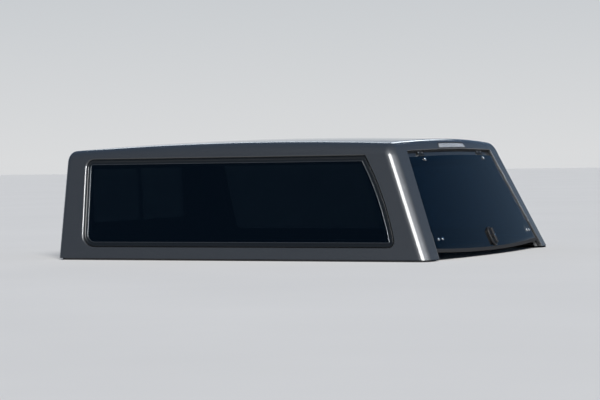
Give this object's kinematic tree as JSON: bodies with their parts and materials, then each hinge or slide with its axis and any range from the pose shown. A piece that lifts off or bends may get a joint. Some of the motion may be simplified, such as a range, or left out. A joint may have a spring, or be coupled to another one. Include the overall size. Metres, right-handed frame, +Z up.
{
  "type": "truck cap",
  "caption": "Cab-high fibreglass truck cap in dark metallic grey, with tinted recessed side windows, a sliding front window and a frameless curved glass rear door on gas struts.",
  "frame": {"origin": "middle of the base, on the underside of the foam rail seals", "axes": "+X to the vehicle rear, +Y to the vehicle right, +Z up"},
  "size_m": [2.2803, 1.8546, 0.655],
  "materials": {
    "paint": "dark grey metallic paint under clear coat",
    "foam": "black closed-cell foam",
    "rail_aluminium": "mill finish",
    "zinc_steel": "zinc plated",
    "black_aluminium": "black powder coat",
    "bead": "satin",
    "side_glass": "dark tint",
    "rear_glass": "dark tint",
    "rubber": "black",
    "black_steel": "black satin",
    "chrome": "polished",
    "nylon": "black",
    "black_plastic": "fine grain",
    "reflector": "metallised",
    "lamp_board": "satin",
    "lamp_lens": "clear",
    "pale_plastic": "satin",
    "lining": "needle-felt carpet"
  },
  "bodies": {
    "shell": {"base_rail_front": "rail_aluminium", "base_rail_left": "rail_aluminium", "base_rail_right": "rail_aluminium", "base_rail_screws": "zinc_steel", "brake_light_board": "lamp_board", "brake_light_gasket": "rubber", "brake_light_housing": "reflector", "brake_light_lens": "lamp_lens", "cap_shell": "paint", "dome_light_base": "pale_plastic", "dome_light_lens": "lamp_lens", "door_gear_screws": "zinc_steel", "door_header_strip": "rubber", "door_opening_seal": "rubber", "front_window_frame": "black_aluminium", "front_window_glass_fixed": "side_glass", "front_window_screws": "zinc_steel", "front_window_trim": "black_aluminium", "headliner": "lining", "hinge_fixed_leaves": "black_steel", "hinge_pins": "zinc_steel", "rail_seal_front": "foam", "rail_seal_left": "foam", "rail_seal_right": "foam", "side_window_beads": "bead", "side_window_bedding": "rubber", "side_window_frame_left": "black_aluminium", "side_window_frame_right": "black_aluminium", "side_window_glass_left": "side_glass", "side_window_glass_right": "side_glass", "side_window_screws": "zinc_steel", "side_window_trims": "black_aluminium", "strikers": "zinc_steel", "strut_brackets": "zinc_steel"},
    "rear_door": {"rear_door_glass": "rear_glass", "door_bottom_seal": "rubber", "hinge_door_leaves": "black_steel", "hinge_bolts": "chrome", "hinge_washers": "nylon", "door_glass_pads": "rubber", "corner_bracket_left": "black_steel", "corner_bracket_right": "black_steel", "corner_bolts": "chrome", "handle_base": "black_plastic", "handle_backing": "black_plastic"},
    "handle": {"handle_grip": "black_plastic", "handle_cam": "black_steel", "handle_nut": "zinc_steel"},
    "lock": {"lock_plug": "chrome"},
    "latch_rod_left": {"latch_rod_left": "zinc_steel"},
    "latch_rod_right": {"latch_rod_right": "zinc_steel"},
    "strut_tube_left": {"strut_tube_left": "black_steel"},
    "strut_tube_right": {"strut_tube_right": "black_steel"},
    "strut_rod_left": {"strut_rod_left": "chrome"},
    "strut_rod_right": {"strut_rod_right": "chrome"},
    "front_slider": {"front_window_glass_sliding": "side_glass", "front_window_slider_rail": "black_aluminium", "front_window_slider_pull": "black_plastic"},
    "dome_switch": {"dome_light_switch": "black_plastic"}
  },
  "joints": [
    {"name": "door_hinge", "type": "hinge", "parent": "shell", "child": "rear_door", "pos_m": [0.86882, 0, 0.54785], "axis": [0, -1, 0], "range_deg": [0, 80]},
    {"name": "strut_pivot_left", "type": "hinge", "parent": "shell", "child": "strut_tube_left", "pos_m": [0.84771, -0.59, 0.46298], "axis": [0, -1, 0], "range_deg": [0, 81.6]},
    {"name": "strut_pivot_right", "type": "hinge", "parent": "shell", "child": "strut_tube_right", "pos_m": [0.84771, 0.59, 0.46298], "axis": [0, -1, 0], "range_deg": [0, 81.6]},
    {"name": "strut_stroke_left", "type": "slide", "parent": "strut_tube_left", "child": "strut_rod_left", "axis": [0.4818, 0, -0.8763], "range_m": [0, 0.1118]},
    {"name": "strut_stroke_right", "type": "slide", "parent": "strut_tube_right", "child": "strut_rod_right", "axis": [0.4818, 0, -0.8763], "range_m": [0, 0.1118]},
    {"name": "handle_turn", "type": "hinge", "parent": "rear_door", "child": "handle", "pos_m": [1.10116, 0, 0.09788], "axis": [-0.9063, 0, -0.4226], "range_deg": [0, 90]},
    {"name": "lock_turn", "type": "hinge", "parent": "handle", "child": "lock", "pos_m": [1.10116, 0, 0.09788], "axis": [-0.9063, 0, -0.4226], "range_deg": [0, 90]},
    {"name": "latch_slide_right", "type": "slide", "parent": "rear_door", "child": "latch_rod_right", "axis": [-0.0456, 0.9981, -0.0423], "range_m": [0, 0.0241]},
    {"name": "latch_slide_left", "type": "slide", "parent": "rear_door", "child": "latch_rod_left", "axis": [-0.0617, -0.9981, -0.0077], "range_m": [0, 0.0241]},
    {"name": "front_slide", "type": "slide", "parent": "shell", "child": "front_slider", "axis": [0, 1, 0], "range_m": [0, 0.5]},
    {"name": "dome_rocker", "type": "hinge", "parent": "shell", "child": "dome_switch", "pos_m": [0.4958, 0, 0.62598], "axis": [0, 1, 0], "range_deg": [-8, 8]}
  ],
  "couplings": [
    {"joint": "strut_pivot_left", "follows": "door_hinge", "ratio": 1.0195},
    {"joint": "strut_pivot_right", "follows": "door_hinge", "ratio": 1.0195},
    {"joint": "strut_stroke_left", "follows": "door_hinge", "m_per_rad": 0.080024},
    {"joint": "strut_stroke_right", "follows": "door_hinge", "m_per_rad": 0.080024},
    {"joint": "latch_slide_right", "follows": "handle_turn", "m_per_rad": 0.015279},
    {"joint": "latch_slide_left", "follows": "handle_turn", "m_per_rad": 0.015279}
  ]
}
